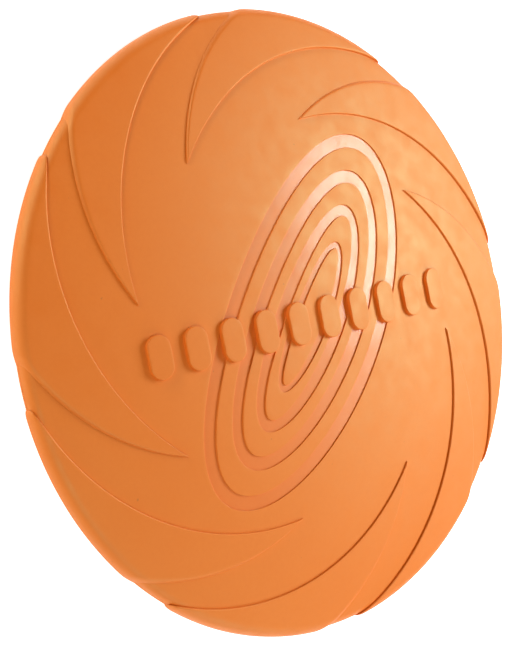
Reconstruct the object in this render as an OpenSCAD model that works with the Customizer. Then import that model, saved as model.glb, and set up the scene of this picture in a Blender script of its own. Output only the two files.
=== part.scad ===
// Rubber flying disc: a closed, shallow crown with a low rounded rim.
// Eight swirl blades are raised on its outer half, four elliptical channels are sunk round its centre,
// and a row of plain pads crosses the middle. It rests on the flat foot of its rim at z = 0, crown up.

/* [Disc] */
// Overall diameter, measured over the swirl blades
disc_d = 220; // [200:1:240]
// Height of the crown above the foot
disc_h = 21.5; // [19:0.5:25]
// Height at which the crown would meet the rim wall if the shoulder were sharp
shoulder_h = 4.9; // [4.5:0.1:6.5]
// Radius of the rounded shoulder between crown and rim wall
shoulder_r = 4; // [3:0.5:5]
// Wall thickness of the crown
plate_t = 2.6; // [2.2:0.1:3.2]

/* [Rim] */
// Thickness of the rim bead, from its outer wall to its inner wall
rim_t = 7.4; // [6:0.2:9]
// Radius of the cove where the inner wall of the rim meets the underside of the crown
cove_r = 2.5; // [1.5:0.1:2.5]
// Height of the lip under the parting line
lip_h = 1.6; // [1.4:0.1:2.2]
// Rounding of the lip's two bottom edges
lip_round = 1; // [0.6:0.1:1.2]

/* [Swirl blades] */
// Number of blades
blade_count = 8; // [6:1:9]
// How far a blade stands out from the crown and the rim wall
blade_t = 0.9; // [0.7:0.1:1.4]
// Height of a blade's lower end above the foot
blade_clear = 0.4; // [0.3:0.1:1]
// Distance of a blade's tip from the centre
blade_tip_r = 69.3; // [66:0.1:74]
// Direction of the first tip, counter-clockwise from +X
blade_first = 26.2; // [0:0.1:45]
// Radius of the trailing edge's arc
trail_r = 77.2; // [74:0.1:80]
// Direction from the tip to the centre of the trailing edge's arc
trail_dir = 222.8; // [221:0.1:225]
// Radius of the leading edge's arc
lead_r = 88.5; // [86:0.1:92]
// Direction from the tip to the centre of the leading edge's arc
lead_dir = 199.5; // [198:0.1:201]

/* [Channels] */
// Depth of the elliptical channels below the crown
channel_depth = 0.45; // [0.3:0.05:1]
// Half width and half length of the first channel's outer edge
channel_1_out = [33.4, 72.6];
// Half width and half length of the first channel's inner edge
channel_1_in = [28.3, 67.5];
// Half width and half length of the second channel's outer edge
channel_2_out = [23.1, 58.2];
// Half width and half length of the second channel's inner edge
channel_2_in = [18.4, 53.4];
// Half width and half length of the third channel's outer edge
channel_3_out = [14.5, 44.4];
// Half width and half length of the third channel's inner edge
channel_3_in = [10, 40.2];
// Half width and half length of the fourth channel's outer edge
channel_4_out = [7.5, 29.5];
// Half width and half length of the fourth channel's inner edge
channel_4_in = [5, 27];

/* [Pads] */
// Number of raised pads in the row
pad_count = 10; // [2:1:10]
// Distance between the centres of neighbouring pads
pad_pitch = 14.2; // [12:0.1:15]
// Width of a pad along the row
pad_w = 8.6; // [6:0.2:10]
// Length of a pad across the row
pad_l = 15; // [12:0.5:18]
// Height of a pad above the crown
pad_h = 1.3; // [0.8:0.1:2]
// Direction of the row, counter-clockwise from +X
row_dir = 40; // [0:1:90]
// Shift of the row across its own direction
row_shift = -1.5; // [-3:0.1:3]

/* [Hidden] */
$fn = 180;
rim_r = disc_d / 2 - blade_t;
rim_in = rim_r - rim_t;
plate_r = rim_in - cove_r - 0.5;
crown_drop = disc_h - shoulder_h;
crown_r = (rim_r * rim_r + crown_drop * crown_drop) / (2 * crown_drop);
crown_z = disc_h - crown_r;
// Centres of a blade's two arcs, for a blade whose tip is on +X
lead_center = [blade_tip_r + lead_r * cos(lead_dir), lead_r * sin(lead_dir)];
trail_center = [blade_tip_r + trail_r * cos(trail_dir), trail_r * sin(trail_dir)];
// Direction in which the leading arc reaches the rim wall
lead_end = atan2(lead_center[1], lead_center[0])
    + acos((pow(rim_r, 2) + pow(norm(lead_center), 2) - pow(lead_r, 2)) / (2 * rim_r * norm(lead_center)));
// Anything taller than the disc cuts right through it
over = disc_h + 5;

// Half section under a spherical crown that turns down at a rounded corner into a wall of radius reach
module crown_section(crown, reach, corner) {
    corner_x = reach - corner;
    corner_z = crown_z + sqrt(pow(crown - corner, 2) - pow(corner_x, 2));
    lean = [corner_x, corner_z - crown_z] / (crown - corner);
    intersection() {
        translate([0, crown_z]) circle(crown, $fn = 2160);
        polygon([[0, 0], [0, over], [corner_x, corner_z] + 10 * lean, [corner_x, corner_z], [corner_x, 0]]);
    }
    translate([corner_x, corner_z]) circle(corner);
    square([reach, corner_z]);
}

// The outer skin of the disc, moved outwards by lift
module skin_section(lift = 0) {
    crown_section(crown_r + lift, rim_r + lift, shoulder_r + lift);
}

// The hollow under the crown and inside the rim
module hollow_section() {
    crown_section(crown_r - plate_t, rim_in, cove_r);
}

// The sphere that the crown follows, moved outwards by lift, with its poles laid level
module crown_ball(lift = 0) {
    translate([0, 0, crown_z]) rotate([90, 0, 0]) sphere(crown_r + lift, $fn = 720);
}

// An upright elliptical post through the whole disc
module ellipse_post(half) {
    linear_extrude(over) scale(half) circle(1);
}

// An upright elliptical ring through the whole disc
module ellipse_ring(outer, inner) {
    difference() {
        ellipse_post(outer);
        ellipse_post(inner);
    }
}

// Outer part of the crown, from the first channel to the rim
module flight_plate() {
    color("#e8843c") difference() {
        rotate_extrude() {
            intersection() {
                difference() {
                    skin_section();
                    hollow_section();
                }
                square([plate_r, over]);
            }
        }
        ellipse_post(channel_1_out);
    }
}

// Thinner middle of the crown, whose upper face is the polished floor of the four channels
module center_web() {
    color("#f0965a") difference() {
        intersection() {
            ellipse_post(channel_1_out);
            crown_ball(-channel_depth);
        }
        crown_ball(-plate_t);
    }
}

// Raised elliptical band that stands on the web between two channels
module ring_band(outer, inner) {
    color("#e8843c") difference() {
        intersection() {
            ellipse_ring(outer, inner);
            crown_ball();
        }
        crown_ball(-channel_depth);
    }
}

module ring_band_outer() {
    ring_band(channel_1_in, channel_2_out);
}

module ring_band_middle() {
    ring_band(channel_2_in, channel_3_out);
}

module ring_band_inner() {
    ring_band(channel_3_in, channel_4_out);
}

// Raised elliptical island in the middle of the disc
module center_island() {
    color("#e8843c") difference() {
        intersection() {
            ellipse_post(channel_4_in);
            crown_ball();
        }
        crown_ball(-channel_depth);
    }
}

// Thick rim above the parting line, with the rounded shoulder and the cove inside
module rim_shoulder() {
    color("#ee9044") rotate_extrude() {
        intersection() {
            difference() {
                skin_section();
                hollow_section();
            }
            translate([plate_r, lip_h]) square([rim_r - plate_r + 1, over]);
        }
    }
}

// Lip under the parting line, with the flat foot the disc rests on
module rim_lip() {
    color("#ee9044") rotate_extrude() intersection() {
        translate([rim_in, 0]) square([rim_t, lip_h]);
        union() {
            translate([rim_in + lip_round, 0]) square([rim_t - 2 * lip_round, lip_h]);
            translate([rim_in, lip_round]) square([rim_t, lip_h]);
            translate([rim_in + lip_round, lip_round]) circle(lip_round);
            translate([rim_r - lip_round, lip_round]) circle(lip_round);
        }
    }
}

// Outline of one blade with its tip on +X: inside the trailing arc and outside the leading arc,
// which turns straight out where it reaches the rim wall
module blade_outline() {
    difference() {
        translate(trail_center) circle(trail_r, $fn = 720);
        translate(lead_center) circle(lead_r, $fn = 720);
        rotate(lead_end) translate([0, -disc_d]) square(disc_d);
    }
}

// Curved blade raised on the crown, wrapped over the shoulder and down the rim wall
module swirl_blade(index) {
    color("#e98a40") intersection() {
        rotate_extrude() {
            difference() {
                skin_section(blade_t);
                skin_section();
                square([blade_tip_r - 5, over]);
            }
        }
        rotate(blade_first + 360 / blade_count * (index - 1))
            translate([0, 0, blade_clear]) linear_extrude(over) blade_outline();
    }
}

// Outline of one pad with round ends, lying across the row
module pad_outline() {
    straight = pad_l - pad_w;
    square([pad_w, straight], center = true);
    translate([0, straight / 2]) circle(d = pad_w);
    translate([0, -straight / 2]) circle(d = pad_w);
}

// Plain raised pad that also fills the channels it crosses
module grip_pad(index) {
    along = (index - (pad_count + 1) / 2) * pad_pitch;
    color("#ee9044") difference() {
        intersection() {
            rotate(row_dir) translate([along, row_shift]) linear_extrude(over) pad_outline();
            crown_ball(pad_h);
        }
        crown_ball(-channel_depth);
        difference() {
            crown_ball();
            ellipse_ring(channel_1_out, channel_1_in);
            ellipse_ring(channel_2_out, channel_2_in);
            ellipse_ring(channel_3_out, channel_3_in);
            ellipse_ring(channel_4_out, channel_4_in);
        }
    }
}

flight_plate();
center_web();
ring_band_outer();
ring_band_middle();
ring_band_inner();
center_island();
rim_shoulder();
rim_lip();
for (i = [1:blade_count]) swirl_blade(i);
for (i = [1:pad_count]) grip_pad(i);
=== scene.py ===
"""Looks of the rubber flying disc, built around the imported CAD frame.

Lengths are millimetres, and the mesh builder turns them into metres. The floor and the lights are in metres.
A "lift" is a distance outwards from the disc's smooth outer skin: crown, rounded shoulder, rim wall.
"""

import math

import bmesh
import bpy
import numpy as np
from mathutils import Matrix, Vector


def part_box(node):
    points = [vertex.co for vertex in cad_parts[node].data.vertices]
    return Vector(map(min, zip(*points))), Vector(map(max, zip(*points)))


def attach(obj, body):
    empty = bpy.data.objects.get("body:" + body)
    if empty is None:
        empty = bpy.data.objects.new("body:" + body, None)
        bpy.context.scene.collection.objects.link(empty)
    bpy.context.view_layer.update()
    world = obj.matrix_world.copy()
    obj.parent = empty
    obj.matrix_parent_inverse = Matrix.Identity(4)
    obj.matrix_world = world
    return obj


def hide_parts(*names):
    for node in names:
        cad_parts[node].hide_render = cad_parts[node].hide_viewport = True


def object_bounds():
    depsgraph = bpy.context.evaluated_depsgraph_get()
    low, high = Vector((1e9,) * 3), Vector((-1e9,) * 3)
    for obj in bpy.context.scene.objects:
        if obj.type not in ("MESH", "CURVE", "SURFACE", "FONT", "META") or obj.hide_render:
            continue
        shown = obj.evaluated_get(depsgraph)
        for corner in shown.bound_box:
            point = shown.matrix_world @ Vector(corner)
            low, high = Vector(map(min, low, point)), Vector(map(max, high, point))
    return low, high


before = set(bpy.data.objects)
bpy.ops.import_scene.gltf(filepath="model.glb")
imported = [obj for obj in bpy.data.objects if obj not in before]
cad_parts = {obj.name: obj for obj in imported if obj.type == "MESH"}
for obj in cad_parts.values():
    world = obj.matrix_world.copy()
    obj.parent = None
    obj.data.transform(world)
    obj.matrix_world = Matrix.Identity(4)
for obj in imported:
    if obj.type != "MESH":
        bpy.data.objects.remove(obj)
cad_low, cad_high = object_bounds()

MM = 0.001
BODY = "root"


# ---------------------------------------------------------------- sizes, most of them read from the frame

def node_size(node):
    """Half sizes in X and Y and the lowest and highest Z of a CAD node, in millimetres."""
    low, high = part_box(node)
    return (high.x - low.x) / 2 / MM, (high.y - low.y) / 2 / MM, low.z / MM, high.z / MM


RIM_R = node_size("rim_lip")[0]
BLADE_T = (cad_high.x - cad_low.x) / 2 / MM - RIM_R
CROWN_H = node_size("center_island")[3]
SHOULDER_H = 4.9          # height where crown and rim wall would meet if the shoulder were sharp
SHOULDER_R = 4.0
PLATE_T = 2.6
RIM_T = 7.4
COVE_R = 2.5
LIP_H = node_size("rim_lip")[3]
LIP_ROUND = 1.0
FLASH_T = 0.14            # the fine ridge left at the parting line
FLASH_H = 0.2
FLASH_FLAT = 0.4          # share of the ridge's height that is flat
PLATE_GAP = 0.5           # from the end of the plate to the start of the cove
PLATE_R = RIM_R - RIM_T - COVE_R - PLATE_GAP

CROWN_DROP = CROWN_H - SHOULDER_H
CROWN_R = (RIM_R ** 2 + CROWN_DROP ** 2) / (2 * CROWN_DROP)
CROWN_Z = CROWN_H - CROWN_R

CHANNEL_DEPTH = 0.45
# Half width and half length of each band's outer edge come from its node; of its inner edge, from here
BAND_INNER = {
    "ring_band_outer": (23.1, 58.2),
    "ring_band_middle": (14.5, 44.4),
    "ring_band_inner": (7.5, 29.5),
}

BLADE_COUNT = 8
BLADE_TIP_R = 69.3
BLADE_FIRST = 26.2        # direction of the first tip, degrees
BLADE_FOOT = 0.4          # height of a blade's lower end
BLADE_FOOT_ROUND = 0.5
LEAD_ARC_R = 88.5
LEAD_ARC_DIR = 199.5      # from the tip to the arc's centre, degrees
TRAIL_ARC_R = 77.2
TRAIL_ARC_DIR = 222.8

PAD_COUNT = 10
PAD_PITCH = 14.2
PAD_W = 8.6
PAD_L = 15.0
PAD_H = 1.3
ROW_DIR = 40.0
ROW_SHIFT = -1.5


# ---------------------------------------------------------------- the smooth outer skin

def crown_height(x, y, lift):
    """Z of the crown's sphere, moved outwards by lift, above the point x, y."""
    return CROWN_Z + np.sqrt((CROWN_R + lift) ** 2 - x ** 2 - y ** 2)


def corner(crown, reach, radius):
    """Centre of the rounded corner between a crown and a wall, and the crown's slope where it starts."""
    x = reach - radius
    z = CROWN_Z + math.sqrt((crown - radius) ** 2 - x ** 2)
    return x, z, math.asin(x / (crown - radius))


SHOULDER_X, SHOULDER_Z, SHOULDER_SLOPE = corner(CROWN_R, RIM_R, SHOULDER_R)
# Distance along the skin from the middle to the end of the crown, and on to the end of the shoulder
CROWN_RUN = CROWN_R * SHOULDER_SLOPE
SHOULDER_RUN = CROWN_RUN + SHOULDER_R * (math.pi / 2 - SHOULDER_SLOPE)


def skin(run, lift):
    """Radius and height of the point at that run along the skin, moved outwards by lift."""
    run, lift = np.broadcast_arrays(np.asarray(run, float), np.asarray(lift, float))
    slope = run / CROWN_R
    turn = SHOULDER_SLOPE + (run - CROWN_RUN) / SHOULDER_R
    on_crown = run <= CROWN_RUN
    on_shoulder = (run > CROWN_RUN) & (run <= SHOULDER_RUN)
    radius = np.where(on_crown, (CROWN_R + lift) * np.sin(slope), RIM_R + lift)
    radius = np.where(on_shoulder, SHOULDER_X + (SHOULDER_R + lift) * np.sin(turn), radius)
    below_shoulder = run - SHOULDER_RUN
    height = np.where(on_crown, CROWN_Z + (CROWN_R + lift) * np.cos(slope), SHOULDER_Z - below_shoulder)
    height = np.where(on_shoulder, SHOULDER_Z + (SHOULDER_R + lift) * np.cos(turn), height)
    return radius, height


def run_at(radius):
    """Run along the crown to a radius of the skin itself."""
    return CROWN_R * np.arcsin(np.asarray(radius, float) / CROWN_R)


# ---------------------------------------------------------------- mesh building

def make_piece(name, points, faces, material, node):
    """One closed mesh from points in millimetres, riding on the disc's body in place of a CAD node."""
    mesh = bpy.data.meshes.new(name)
    mesh.from_pydata((np.asarray(points) * MM).tolist(), [], faces)
    piece = bpy.data.objects.new(name, mesh)
    bpy.context.scene.collection.objects.link(piece)
    clean(mesh)
    mesh.materials.append(material)
    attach(piece, BODY)
    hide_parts(node)
    return piece


def clean(mesh, merge=1e-6, sharp=50):
    """Merges doubled points, drops empty faces, turns all faces outwards and marks sharp edges."""
    shape = bmesh.new()
    shape.from_mesh(mesh)
    bmesh.ops.remove_doubles(shape, verts=shape.verts, dist=merge)
    bmesh.ops.dissolve_degenerate(shape, dist=merge / 2, edges=shape.edges)
    bmesh.ops.recalc_face_normals(shape, faces=shape.faces)
    shape.to_mesh(mesh)
    shape.free()
    mesh.shade_smooth()
    mesh.set_sharp_from_angle(angle=math.radians(sharp))


def ring_faces(rows, columns, loop_rows):
    """Quads between rows of a grid whose columns close on themselves; the rows close too if loop_rows."""
    faces = []
    for i in range(rows if loop_rows else rows - 1):
        here, there = i * columns, (i + 1) % rows * columns
        for j in range(columns):
            k = (j + 1) % columns
            faces.append((here + j, here + k, there + k, there + j))
    return faces


def steps(count, start=0.0, end=1.0):
    """That many evenly spaced values from start to end."""
    return np.linspace(start, end, count)


def turn_point(x, y, degrees):
    """The point turned about the disc's axis."""
    a = math.radians(degrees)
    return x * math.cos(a) - y * math.sin(a), x * math.sin(a) + y * math.cos(a)


# Rounded top edge of a step, from its wall to its top: (part of the rounding inwards, part below the top)
EDGE_ROUND = [(1 - math.sin(a), 1 - math.cos(a)) for a in steps(7, math.pi / 2, 0)]


# ---------------------------------------------------------------- elliptical middle of the disc

AROUND = 400
TOP_ROWS = 40
UNDER_ROWS = 24
BAND_ROWS = 8


def ellipse_rows(profile):
    """Points of a profile of (half width, half length, lift) carried round the ellipses."""
    angle = np.linspace(0, 2 * math.pi, AROUND, endpoint=False)
    rows = []
    for a, b, lift in profile:
        x, y = a * np.cos(angle), b * np.sin(angle)
        rows.append(np.column_stack([x, y, crown_height(x, y, lift)]))
    return np.concatenate(rows)


def step_edge(a, b, outwards, rounding=0.15, foot=0.06, below=0.1):
    """Profile of a step from the channel floor up to the crown; outwards is 1 where the land is outside."""
    floor = -CHANNEL_DEPTH
    rows = [(-foot * outwards, floor - below), (-foot * outwards, floor)]
    rows += [(-foot * 0.3 * outwards, floor + foot * 0.3), (0, floor + foot)]
    rows += [(rounding * inwards * outwards, -rounding * down) for inwards, down in EDGE_ROUND]
    return [(a + d, b + d, lift) for d, lift in rows]


def between(first, last, count):
    """Profile rows from one ellipse to another, without the first and the last."""
    return [tuple(np.array(first) + (np.array(last) - np.array(first)) * t) for t in steps(count)[1:-1]]


def build_plate(material):
    a, b = node_size("center_web")[:2]
    rows = step_edge(a, b, 1)
    rim_top, rim_under = (PLATE_R, PLATE_R, 0), (PLATE_R, PLATE_R, -PLATE_T)
    rows += between(rows[-1], rim_top, TOP_ROWS) + [rim_top, rim_under]
    under = (a, b, -PLATE_T)
    rows += between(rim_under, under, UNDER_ROWS) + [under]
    return make_piece(
        "flight_plate_skin", ellipse_rows(rows), ring_faces(len(rows), AROUND, True),
        material, "flight_plate",
    )


def build_web(material):
    a, b = node_size("center_web")[:2]
    top = [(a * t, b * t, -CHANNEL_DEPTH) for t in steps(TOP_ROWS)]
    under = [(a * t, b * t, -PLATE_T) for t in steps(UNDER_ROWS, 1.0, 0.0)]
    rows = top + under
    return make_piece(
        "polished_web", ellipse_rows(rows), ring_faces(len(rows), AROUND, False),
        material, "center_web",
    )


def build_band(node, material):
    outer = step_edge(*node_size(node)[:2], -1)
    inner = step_edge(*BAND_INNER[node], 1)[::-1]
    rows = outer + between(outer[-1], inner[0], BAND_ROWS) + inner
    return make_piece(
        node + "_skin", ellipse_rows(rows), ring_faces(len(rows), AROUND, True),
        material, node,
    )


def build_island(material):
    a, b = node_size("center_island")[:2]
    edge = step_edge(a, b, -1)
    top_a, top_b = edge[-1][:2]
    top = [(top_a * t, top_b * t, 0) for t in steps(10, 1.0, 0.0)[1:]]
    low_a, low_b, low = edge[0]
    under = [(low_a * t, low_b * t, low) for t in steps(4)[:-1]]
    rows = under + edge + top
    return make_piece(
        "center_island_skin", ellipse_rows(rows), ring_faces(len(rows), AROUND, False),
        material, "center_island",
    )


# ---------------------------------------------------------------- rim

RIM_AROUND = 512


def revolve(profile):
    """Points of a profile of (radius, height) carried round the disc's axis."""
    angle = np.linspace(0, 2 * math.pi, RIM_AROUND, endpoint=False)
    rows = [
        np.column_stack([r * np.cos(angle), r * np.sin(angle), np.full(RIM_AROUND, z)])
        for r, z in profile
    ]
    return np.concatenate(rows)


def arc(cx, cz, radius, start, end, count):
    """Points on an arc; angles in degrees from the +R direction towards +Z."""
    return [
        (cx + radius * math.cos(math.radians(a)), cz + radius * math.sin(math.radians(a)))
        for a in steps(count, start, end)
    ]


def build_rim_shoulder(material):
    top = [tuple(map(float, skin(s, 0))) for s in np.linspace(run_at(PLATE_R), CROWN_RUN, 10)]
    shoulder = [tuple(map(float, skin(s, 0))) for s in np.linspace(CROWN_RUN, SHOULDER_RUN, 16)[1:]]
    wall = [
        (RIM_R, LIP_H + FLASH_H), (RIM_R + FLASH_T, LIP_H + FLASH_H * FLASH_FLAT), (RIM_R + FLASH_T, LIP_H),
    ]
    cove_x, cove_z, cove_slope = corner(CROWN_R - PLATE_T, RIM_R - RIM_T, COVE_R)
    inner = [(RIM_R - RIM_T, LIP_H)]
    cove = arc(cove_x, cove_z, COVE_R, 0, 90 - math.degrees(cove_slope), 10)
    plate_under = float(crown_height(PLATE_R, 0.0, -PLATE_T))
    rows = top + shoulder + wall + inner + cove + [(PLATE_R, plate_under)]
    return make_piece(
        "rim_shoulder_skin", revolve(rows), ring_faces(len(rows), RIM_AROUND, True),
        material, "rim_shoulder",
    )


def build_rim_lip(material):
    inner = RIM_R - RIM_T
    rows = [
        (RIM_R + FLASH_T, LIP_H), (RIM_R + FLASH_T, LIP_H - FLASH_H * FLASH_FLAT), (RIM_R, LIP_H - FLASH_H),
    ]
    rows += arc(RIM_R - LIP_ROUND, LIP_ROUND, LIP_ROUND, 0, -90, 8)
    rows += arc(inner + LIP_ROUND, LIP_ROUND, LIP_ROUND, -90, -180, 8)
    rows += [(inner, LIP_H)]
    return make_piece(
        "rim_lip_skin", revolve(rows), ring_faces(len(rows), RIM_AROUND, True),
        material, "rim_lip",
    )


# ---------------------------------------------------------------- swirl blades

def arc_centre(radius, degrees):
    """Centre of an arc through the tip of a blade that points along +X."""
    a = math.radians(degrees)
    return BLADE_TIP_R + radius * math.cos(a), radius * math.sin(a)


LEAD_CENTRE = arc_centre(LEAD_ARC_R, LEAD_ARC_DIR)
TRAIL_CENTRE = arc_centre(TRAIL_ARC_R, TRAIL_ARC_DIR)


def angle_on_arc(centre, arc_r, radius):
    """Direction from the disc's middle to where the arc crosses the circle of that radius."""
    far = math.hypot(*centre)
    cosine = (radius ** 2 + far ** 2 - arc_r ** 2) / (2 * radius * far)
    return math.atan2(centre[1], centre[0]) + np.arccos(np.clip(cosine, -1, 1))


def tip_radius(lead_in, trail_in):
    """Distance from the middle to the tip of the blade's outline, set in by those amounts."""
    r0, r1 = LEAD_ARC_R + lead_in, TRAIL_ARC_R - trail_in
    (x0, y0), (x1, y1) = LEAD_CENTRE, TRAIL_CENTRE
    gap = math.hypot(x1 - x0, y1 - y0)
    along = (r0 ** 2 - r1 ** 2 + gap ** 2) / (2 * gap)
    aside = math.sqrt(max(r0 ** 2 - along ** 2, 0))
    ux, uy = (x1 - x0) / gap, (y1 - y0) / gap
    x, y = x0 + along * ux, y0 + along * uy
    return min(math.hypot(x - aside * uy, y + aside * ux), math.hypot(x + aside * uy, y - aside * ux))


# Cross-section of a blade's edge: (part of the thickness, inset on the leading side)
BLADE_EDGE = [
    (-0.30, 0.0), (0.0, 0.0), (0.20, 0.02), (0.42, 0.08), (0.62, 0.18),
    (0.79, 0.32), (0.91, 0.48), (0.98, 0.66), (1.0, 0.85),
]
# The trailing side: (share of the ramp's width outside the outline, inset)
TRAIL_EDGE = [
    (1, 0), (1, 0), (0.70, 0), (0.40, 0.05), (0.15, 0.15),
    (0.03, 0.32), (0, 0.58), (0, 0.90), (0, 1.30),
]
RAMP_AT_TIP = 0.04
RAMP_AT_RIM = 0.7
EDGE_AT_TIP = 0.35        # how much of those insets is left at the tip
TIP_T = 0.75              # thickness at the tip, as a share of the thickness at the rim
RAMP_GROWTH = 1.8         # above 1 the ramp stays narrow for longer
ROW_CROWDING = 1.25       # above 1 the rows crowd towards the tip
BLADE_ACROSS = 26


def ramp_width(radius):
    """How wide the soft trailing step is at that radius."""
    t = np.clip((radius - BLADE_TIP_R) / (RIM_R - BLADE_TIP_R), 0, 1)
    return RAMP_AT_TIP + (RAMP_AT_RIM - RAMP_AT_TIP) * t ** RAMP_GROWTH


def blade_rows():
    """Rows of (share of the way over the crown, run past the crown, share of the thickness)."""
    wall_end = SHOULDER_RUN + SHOULDER_Z - BLADE_FOOT
    crown = [(t, 0.0, 1.0) for t in steps(64) ** ROW_CROWDING]
    shoulder = [(1.0, s - CROWN_RUN, 1.0) for s in np.linspace(CROWN_RUN, SHOULDER_RUN, 14)[1:]]
    wall_runs = np.linspace(SHOULDER_RUN, wall_end - BLADE_FOOT_ROUND, 4)[1:]
    wall = [(1.0, s - CROWN_RUN, 1.0) for s in wall_runs]
    lower = [
        (1.0, wall_end - CROWN_RUN - BLADE_FOOT_ROUND * math.cos(a), math.sin(a))
        for a in np.radians([60, 30, 8])
    ]
    return crown + shoulder + wall + lower


def blade_ring(share, past, thick):
    """Angle, run and lift of the points round one cross-section of a blade."""
    soft = EDGE_AT_TIP + (1 - EDGE_AT_TIP) * share
    top = BLADE_T * (TIP_T + (1 - TIP_T) * share) * thick
    lead, trail, lifts, runs = [], [], [], []
    for (part, lead_in), (ramp, trail_in) in zip(BLADE_EDGE, TRAIL_EDGE):
        start = tip_radius(lead_in * EDGE_AT_TIP, trail_in * EDGE_AT_TIP - ramp * RAMP_AT_TIP)
        run = run_at(start) + (CROWN_RUN - run_at(start)) * share + past
        lift = part * (top if part > 0 else BLADE_T)
        radius = float(skin(run, lift)[0])
        inset = trail_in * soft - ramp * ramp_width(radius)
        lead.append(angle_on_arc(LEAD_CENTRE, LEAD_ARC_R + lead_in * soft, min(radius, RIM_R)))
        # The first ring is folded shut, as the two arcs meet at the tip
        at_tip = share == 0
        trail.append(lead[-1] if at_tip else angle_on_arc(TRAIL_CENTRE, TRAIL_ARC_R - inset, radius))
        lifts.append(lift)
        runs.append(run)
    top_angle = lead[-1] + (trail[-1] - lead[-1]) * steps(BLADE_ACROSS + 2)[1:-1]
    angle = np.concatenate([lead, top_angle, trail[::-1]])
    lift = np.concatenate([lifts, np.full(BLADE_ACROSS, lifts[-1]), lifts[::-1]])
    run = np.concatenate([runs, np.full(BLADE_ACROSS, runs[-1]), runs[::-1]])
    # The same points go back along the buried underside
    under = np.full(len(angle) - 2, BLADE_EDGE[0][0] * BLADE_T)
    angle = np.concatenate([angle, angle[::-1][1:-1]])
    run = np.concatenate([run, run[::-1][1:-1]])
    return angle, run, np.concatenate([lift, under])


def blade_points(direction):
    """Points of a blade whose tip is in that direction, the number of rings, and the points in each."""
    rings = []
    for row in blade_rows():
        angle, run, lift = blade_ring(*row)
        radius, height = skin(run, lift)
        a = angle + math.radians(direction)
        rings.append(np.column_stack([radius * np.cos(a), radius * np.sin(a), height]))
    # The last ring folds flat under the blade's lower end
    last = rings[-1]
    half = 2 * len(BLADE_EDGE) + BLADE_ACROSS
    back = np.concatenate([[0], np.arange(len(last) - 1, half - 1, -1), [half - 1]])
    flat = last.copy()
    flat[:half] = last[back]
    rings.append(flat)
    return np.concatenate(rings), len(rings), len(last)


def build_blade(index, material):
    direction = BLADE_FIRST + 360 / BLADE_COUNT * (index - 1)
    points, rows, columns = blade_points(direction)
    node = f"swirl_blade_{index}"
    return make_piece(
        node + "_skin", points, ring_faces(rows, columns, False),
        material, node,
    )


# ---------------------------------------------------------------- grip pads

def pad_outline(inset):
    """A pad's outline with round ends, set in by that much; every inset has the same number of points."""
    half = PAD_W / 2 - inset
    straight = (PAD_L - PAD_W) / 2
    ends = []
    for side in (1, -1):
        for a in steps(25, 0, math.pi):
            ends.append((side * half * math.cos(a), side * (straight + half * math.sin(a))))
        for t in steps(10)[1:-1]:
            ends.append((-side * half, side * straight * (1 - 2 * t)))
    return np.array(ends)


PAD_EDGE_ROUND = 0.25
PAD_SINK = 0.1
PAD_DRAFT = 0.05          # how far the walls lean in
PAD_DRAFT_START = 0.2     # lift where they start to lean


def build_pad(index, material):
    along = (index - (PAD_COUNT + 1) / 2) * PAD_PITCH
    rows = [(0.0, -CHANNEL_DEPTH - PAD_SINK), (0.0, PAD_DRAFT_START)]
    rows += [(PAD_DRAFT + PAD_EDGE_ROUND * a, PAD_H - PAD_EDGE_ROUND * b) for a, b in EDGE_ROUND]
    start = rows[-1][0]
    rows += [(start + (PAD_W / 2 - start) * t, PAD_H) for t in steps(7)[1:]]
    points = []
    for inset, lift in rows:
        x, y = turn_point(*(pad_outline(inset) + (along, ROW_SHIFT)).T, ROW_DIR)
        points.append(np.column_stack([x, y, crown_height(x, y, lift)]))
    columns = len(points[0])
    faces = ring_faces(len(rows), columns, False)
    faces.append(tuple(range(columns)))
    node = f"grip_pad_{index}"
    return make_piece(
        node + "_skin", np.concatenate(points), faces,
        material, node,
    )


# ---------------------------------------------------------------- materials

class Nodes:
    """Short calls for building one material's nodes."""

    def __init__(self, name):
        self.material = bpy.data.materials.new(name)
        self.material.use_nodes = True
        self.tree = self.material.node_tree
        self.tree.nodes.clear()
        self.place = self.add("ShaderNodeTexCoord").outputs["Object"]

    def add(self, kind, inputs=None, **settings):
        node = self.tree.nodes.new(kind)
        for key, value in settings.items():
            setattr(node, key, value)
        for key, value in (inputs or {}).items():
            if isinstance(value, bpy.types.NodeSocket):
                self.tree.links.new(value, node.inputs[key])
            else:
                node.inputs[key].default_value = value
        return node

    def noise(self, size_mm, detail=2.0, rough=0.5, place=None):
        """Noise with features of about that size."""
        place = place or self.place
        inputs = {"Vector": place, "Scale": 1 / (size_mm * MM), "Detail": detail, "Roughness": rough}
        return self.add("ShaderNodeTexNoise", inputs).outputs["Fac"]

    def ramp(self, fac, low, high, out_low=0.0, out_high=1.0):
        inputs = {"Value": fac, "From Min": low, "From Max": high, "To Min": out_low, "To Max": out_high}
        return self.add("ShaderNodeMapRange", inputs).outputs["Result"]

    def mix(self, fac, first, second):
        node = self.add("ShaderNodeMix", data_type="RGBA")
        for key, value in ((0, fac), (6, first), (7, second)):
            if isinstance(value, bpy.types.NodeSocket):
                self.tree.links.new(value, node.inputs[key])
            else:
                node.inputs[key].default_value = value
        return node.outputs[2]

    def bump(self, height, distance_mm, strength=1.0, normal=None):
        inputs = {"Height": height, "Distance": distance_mm * MM, "Strength": strength}
        if normal is not None:
            inputs["Normal"] = normal
        return self.add("ShaderNodeBump", inputs).outputs["Normal"]

    def finish(self, **inputs):
        shader = self.add("ShaderNodeBsdfPrincipled", {k.replace("_", " "): v for k, v in inputs.items()})
        self.add("ShaderNodeOutputMaterial", {"Surface": shader.outputs["BSDF"]})
        return self.material


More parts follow.
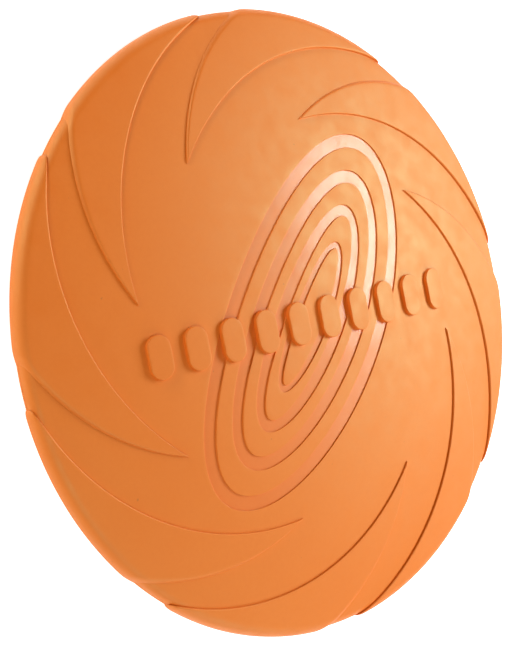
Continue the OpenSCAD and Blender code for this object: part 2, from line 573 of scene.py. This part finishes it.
ORANGE = (0.76, 0.144, 0.004, 1)
ORANGE_DEEP = (0.73, 0.124, 0.002, 1)
ORANGE_PALE = (0.775, 0.154, 0.007, 1)
SPECK = (0.45, 0.09, 0.01, 1)


def rubber_colour(n):
    """Orange with soft clouds, a fine mottle and a few dark specks."""
    clouds = n.ramp(n.noise(38, 3.0), 0.3, 0.7)
    colour = n.mix(clouds, ORANGE, ORANGE_PALE)
    mottle = n.ramp(n.noise(1.6, 4.0, 0.6), 0.35, 0.75, 0.0, 0.35)
    colour = n.mix(mottle, colour, ORANGE_DEEP)
    specks = n.ramp(n.noise(2.2, 1.0), 0.80, 0.84, 0.0, 0.5)
    return n.mix(specks, colour, SPECK)


def matte_rubber():
    """Moulded skin with a fine grain and a broad, slightly yellow sheen."""
    n = Nodes("matte_rubber")
    grain = n.noise(0.34, 3.0, 0.65)
    ripple = n.noise(9.0, 2.0)
    normal = n.bump(grain, 0.035, 0.8, n.bump(ripple, 0.06, 0.5))
    rough = n.ramp(n.noise(6.0, 3.0), 0.3, 0.7, 0.52, 0.62)
    return n.finish(
        Base_Color=rubber_colour(n), Roughness=rough, Normal=normal,
        Specular_IOR_Level=1.0, Specular_Tint=(0.30, 1.0, 0.48, 1),
    )


def polished_rubber():
    """Rubber with a clear gloss over it, broken up by long scuffs and cloudy smudges."""
    n = Nodes("polished_rubber")
    along = n.add("ShaderNodeMapping", {"Vector": n.place, "Scale": (1.0, 0.22, 1.0)}).outputs["Vector"]
    smudge = n.ramp(n.noise(7.0, 5.0, 0.65), 0.40, 0.62, 0.42, 0.28)
    scuff = n.ramp(n.noise(2.4, 4.0, 0.6, along), 0.50, 0.60, 0.0, 0.12)
    gloss = n.add("ShaderNodeMath", {0: smudge, 1: scuff}, operation="SUBTRACT").outputs[0]
    rough = n.ramp(n.noise(6.0, 3.0), 0.3, 0.7, 0.50, 0.58)
    normal = n.bump(n.noise(1.8, 3.0), 0.012, 0.7, n.bump(n.noise(7.0, 2.0), 0.05, 0.6))
    return n.finish(
        Base_Color=rubber_colour(n), Roughness=rough, Normal=normal,
        Specular_IOR_Level=0.90, Specular_Tint=(0.36, 0.95, 0.62, 1),
        Coat_Weight=gloss, Coat_Roughness=0.20, Coat_Normal=normal,
    )


def floor_material():
    n = Nodes("pale_floor")
    tone = n.ramp(n.noise(300.0, 2.0), 0.3, 0.7, 0.0, 0.3)
    colour = n.mix(tone, (0.90, 0.90, 0.90, 1), (0.88, 0.88, 0.88, 1))
    return n.finish(
        Base_Color=colour, Roughness=0.8, Emission_Color=(1, 1, 1, 1), Emission_Strength=FLOOR_GLOW,
    )


# ---------------------------------------------------------------- stage, lights and camera

def direction_vector(azimuth, elevation):
    """Unit vector towards a place seen at that azimuth and elevation; azimuth 0 is -Y and 90 is +X."""
    a, e = math.radians(azimuth), math.radians(elevation)
    return Vector((math.sin(a) * math.cos(e), -math.cos(a) * math.cos(e), math.sin(e)))


FLOOR_HALF = 3.0
FLOOR_Z = -0.0002         # just under the disc's foot


def build_floor():
    mesh = bpy.data.meshes.new("floor")
    corners = [(x * FLOOR_HALF, y * FLOOR_HALF, FLOOR_Z) for x, y in ((-1, -1), (1, -1), (1, 1), (-1, 1))]
    mesh.from_pydata(corners, [], [(0, 1, 2, 3)])
    mesh.materials.append(floor_material())
    floor = bpy.data.objects.new("floor", mesh)
    bpy.context.scene.collection.objects.link(floor)


def area_light(name, azimuth, elevation, distance, size, power):
    light = bpy.data.lights.new(name, "AREA")
    light.shape = "RECTANGLE"
    light.size, light.size_y = size
    light.energy = power
    lamp = bpy.data.objects.new(name, light)
    towards = direction_vector(azimuth, elevation)
    lamp.location = towards * distance
    lamp.rotation_mode = "QUATERNION"
    lamp.rotation_quaternion = towards.to_track_quat("Z", "Y")
    bpy.context.scene.collection.objects.link(lamp)


# Name, azimuth, elevation, distance, width and height, power (W)
SOFTBOXES = [
    ("key_softbox", 137, 35, 0.95, (0.42, 0.34), 8.5),
    ("key_side_softbox", 108, 33, 0.95, (0.60, 0.40), 1.8),
    ("right_softbox", 50, 25, 0.95, (0.70, 0.35), 3.0),
    ("front_softbox", -10, 50, 0.95, (0.60, 0.40), 3.8),
    ("left_strip", -98, 8, 0.95, (0.80, 0.13), 4.6),
    ("rear_strip", -150, 8, 0.95, (0.80, 0.13), 0.6),
]
WORLD_LIGHT = 0.03
FLOOR_GLOW = 0.80         # the floor is a white light table, which lights the rim from below


def build_lights():
    for name, azimuth, elevation, distance, size, power in SOFTBOXES:
        area_light(name, azimuth, elevation, distance, size, power)
    world = bpy.data.worlds.new("studio")
    world.use_nodes = True
    background = world.node_tree.nodes["Background"]
    background.inputs["Color"].default_value = (1, 1, 1, 1)
    background.inputs["Strength"].default_value = WORLD_LIGHT
    bpy.context.scene.world = world


CAMERA_AZIMUTH = -55.30
CAMERA_ELEVATION = 50.59
CAMERA_ROLL = 82.84       # the disc's up direction points to the right of the picture
CAMERA_AIM = (-12.69, -9.71, 10.0)
CAMERA_DISTANCE = 754.9
CAMERA_LENS = 121.8
SENSOR = 36.0


def build_camera():
    data = bpy.data.cameras.new("camera")
    data.lens = CAMERA_LENS
    data.sensor_width = SENSOR
    data.clip_start, data.clip_end = 0.05, 20.0
    camera = bpy.data.objects.new("camera", data)
    back = direction_vector(CAMERA_AZIMUTH, CAMERA_ELEVATION)
    camera.location = Vector(CAMERA_AIM) * MM + back * CAMERA_DISTANCE * MM
    level = back.to_track_quat("Z", "Y").to_matrix()
    camera.rotation_mode = "QUATERNION"
    roll = Matrix.Rotation(math.radians(CAMERA_ROLL), 3, "Z")
    camera.rotation_quaternion = (level @ roll).to_quaternion()
    bpy.context.scene.collection.objects.link(camera)
    bpy.context.scene.camera = camera


# ---------------------------------------------------------------- the whole scene

matte = matte_rubber()
polished = polished_rubber()
build_plate(matte)
build_web(polished)
for band in BAND_INNER:
    build_band(band, matte)
build_island(matte)
build_rim_shoulder(matte)
build_rim_lip(matte)
for i in range(1, BLADE_COUNT + 1):
    build_blade(i, matte)
for i in range(1, PAD_COUNT + 1):
    build_pad(i, matte)
build_floor()
build_lights()
build_camera()
bpy.context.scene.view_settings.view_transform = "Standard"
